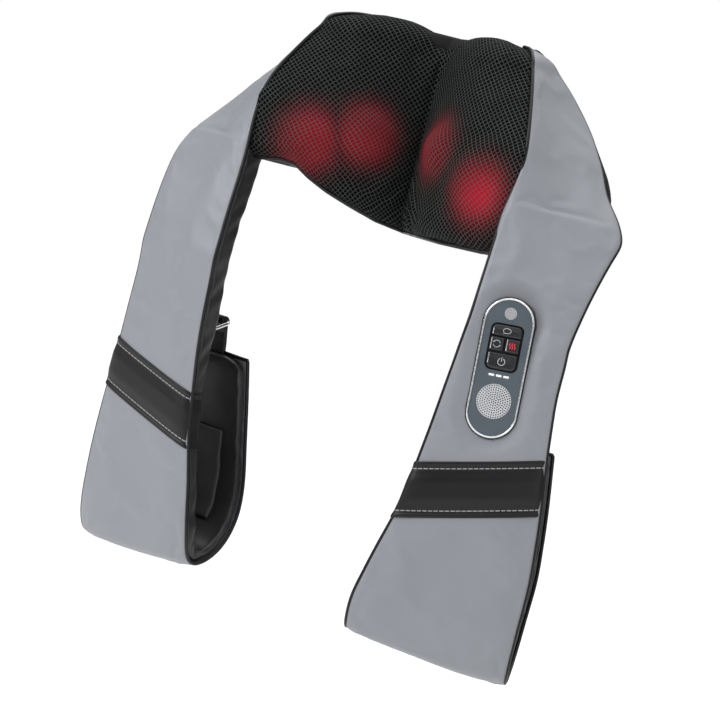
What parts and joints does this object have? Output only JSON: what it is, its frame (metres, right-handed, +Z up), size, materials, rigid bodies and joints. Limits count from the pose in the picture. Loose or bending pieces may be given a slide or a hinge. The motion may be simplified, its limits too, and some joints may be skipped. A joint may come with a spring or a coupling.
{
  "type": "shiatsu neck massager",
  "caption": "Neck and shoulder massager: mesh-covered lobes with turning heated heads, padded arms that end in hand loops, and a control panel.",
  "frame": {"origin": "on the wearer's neck axis, level with the lower edge of the padded body", "axes": "+X to the right of someone facing the lobes, +Y into the padded body, +Z up; the arms hang down"},
  "size_m": [0.4587, 0.2195, 0.5221],
  "materials": {
    "black_mesh": "matt 3-D spacer mesh",
    "grey_leatherette": "smooth matt",
    "black_cloth": "woven, matt",
    "foam": "open cell",
    "black_liner": "soft satin",
    "black_band": "satin, stitched",
    "case_plastic": "moulded",
    "black_plastic": "satin",
    "slate_plastic": "satin",
    "silver_trim": "polished",
    "ring_steel": "polished",
    "grille_metal": "satin",
    "shaft_steel": "ground",
    "bridge_steel": "zinc plated",
    "motor_can": "plated",
    "bush_bronze": "sintered",
    "gear_plastic": "acetal",
    "red_lens": "translucent red",
    "board": "solder mask",
    "cell_wrap": "shrink wrap",
    "light_white": "diffusing",
    "heat_red": "satin"
  },
  "bodies": {
    "chassis": {"mesh_cover": "black_mesh", "right_side_cover": "grey_leatherette", "left_side_cover": "grey_leatherette", "back_cover": "black_cloth", "front_foam": "foam", "rear_foam": "foam", "side_foams": "foam", "right_gearcase_front": "case_plastic", "right_gearcase_rear": "case_plastic", "left_gearcase_front": "case_plastic", "left_gearcase_rear": "case_plastic", "right_motor": "motor_can", "left_motor": "motor_can", "shaft_bushes": "bush_bronze", "gearcase_screws": "shaft_steel", "chassis_bridge": "bridge_steel", "battery_cells": "cell_wrap", "main_circuit_board": "board", "charge_jack": "black_plastic"},
    "right_wheel": {"right_massage_wheel": "case_plastic", "right_output_shaft": "shaft_steel", "right_inner_head": "red_lens", "right_outer_head": "red_lens", "right_heaters": "board", "right_worm_gear": "gear_plastic"},
    "right_worm_shaft": {"right_worm": "shaft_steel"},
    "left_wheel": {"left_massage_wheel": "case_plastic", "left_output_shaft": "shaft_steel", "left_inner_head": "red_lens", "left_outer_head": "red_lens", "left_heaters": "board", "left_worm_gear": "gear_plastic"},
    "left_worm_shaft": {"left_worm": "shaft_steel"},
    "right_arm": {"right_arm_cover": "grey_leatherette", "right_arm_foam": "foam", "right_arm_liner": "black_liner", "right_arm_band": "black_band", "right_ring_strap": "black_liner", "right_loop_tab": "black_liner", "right_press_studs": "black_plastic", "control_housing": "black_plastic", "panel_trim_ring": "silver_trim", "face_plate": "slate_plastic", "indicator_lights": "light_white", "grille_discs": "grille_metal", "speaker_driver": "black_plastic", "control_board": "board"},
    "right_ring": {"right_loop_ring": "ring_steel"},
    "left_arm": {"left_arm_cover": "grey_leatherette", "left_arm_foam": "foam", "left_arm_liner": "black_liner", "left_arm_band": "black_band", "left_ring_strap": "black_liner", "left_loop_tab": "black_liner", "left_press_studs": "black_plastic"},
    "left_ring": {"left_loop_ring": "ring_steel"},
    "voice_key": {"voice_button": "black_plastic"},
    "direction_key": {"direction_button": "black_plastic"},
    "heat_key": {"heat_button": "heat_red"},
    "power_key": {"power_button": "black_plastic"}
  },
  "joints": [
    {"name": "right_wheel_spin", "type": "hinge", "parent": "chassis", "child": "right_wheel", "pos_m": [0.0655, 0.0505, 0.06], "axis": [0.5, 0.866, 0], "continuous": true},
    {"name": "right_worm_spin", "type": "hinge", "parent": "chassis", "child": "right_worm_shaft", "pos_m": [0.05915, 0.10151, 0.06], "axis": [0, 0, 1], "continuous": true},
    {"name": "left_wheel_spin", "type": "hinge", "parent": "chassis", "child": "left_wheel", "pos_m": [-0.0655, 0.0505, 0.06], "axis": [-0.5, 0.866, 0], "continuous": true},
    {"name": "left_worm_spin", "type": "hinge", "parent": "chassis", "child": "left_worm_shaft", "pos_m": [-0.05915, 0.10151, 0.06], "axis": [0, 0, 1], "continuous": true},
    {"name": "right_arm_flex", "type": "hinge", "parent": "chassis", "child": "right_arm", "pos_m": [0.167, 0.012, -0.025], "axis": [0.9659, 0.2588, 0], "range_deg": [-30, 25], "stiffness_Nm_per_rad": 10},
    {"name": "right_ring_swing", "type": "hinge", "parent": "right_arm", "child": "right_ring", "pos_m": [0.1586, 0.02788, -0.1382], "axis": [0.9659, 0.2588, 0], "range_deg": [-6, 6]},
    {"name": "left_arm_flex", "type": "hinge", "parent": "chassis", "child": "left_arm", "pos_m": [-0.167, 0.012, -0.025], "axis": [0.9659, -0.2588, 0], "range_deg": [-30, 25], "stiffness_Nm_per_rad": 10},
    {"name": "left_ring_swing", "type": "hinge", "parent": "left_arm", "child": "left_ring", "pos_m": [-0.15547, 0.03959, -0.13564], "axis": [0.9659, -0.2588, 0], "range_deg": [-6, 6]},
    {"name": "voice_press", "type": "slide", "parent": "right_arm", "child": "voice_key", "axis": [-0.2584, 0.9643, -0.0576], "range_m": [0, 0.0008], "stiffness_N_per_m": 400},
    {"name": "direction_press", "type": "slide", "parent": "right_arm", "child": "direction_key", "axis": [-0.2584, 0.9643, -0.0576], "range_m": [0, 0.0008], "stiffness_N_per_m": 400},
    {"name": "heat_press", "type": "slide", "parent": "right_arm", "child": "heat_key", "axis": [-0.2584, 0.9643, -0.0576], "range_m": [0, 0.0008], "stiffness_N_per_m": 400},
    {"name": "power_press", "type": "slide", "parent": "right_arm", "child": "power_key", "axis": [-0.2584, 0.9643, -0.0576], "range_m": [0, 0.0008], "stiffness_N_per_m": 400}
  ],
  "couplings": [
    {"joint": "right_worm_spin", "follows": "right_wheel_spin", "ratio": -40},
    {"joint": "left_worm_spin", "follows": "left_wheel_spin", "ratio": 40}
  ]
}
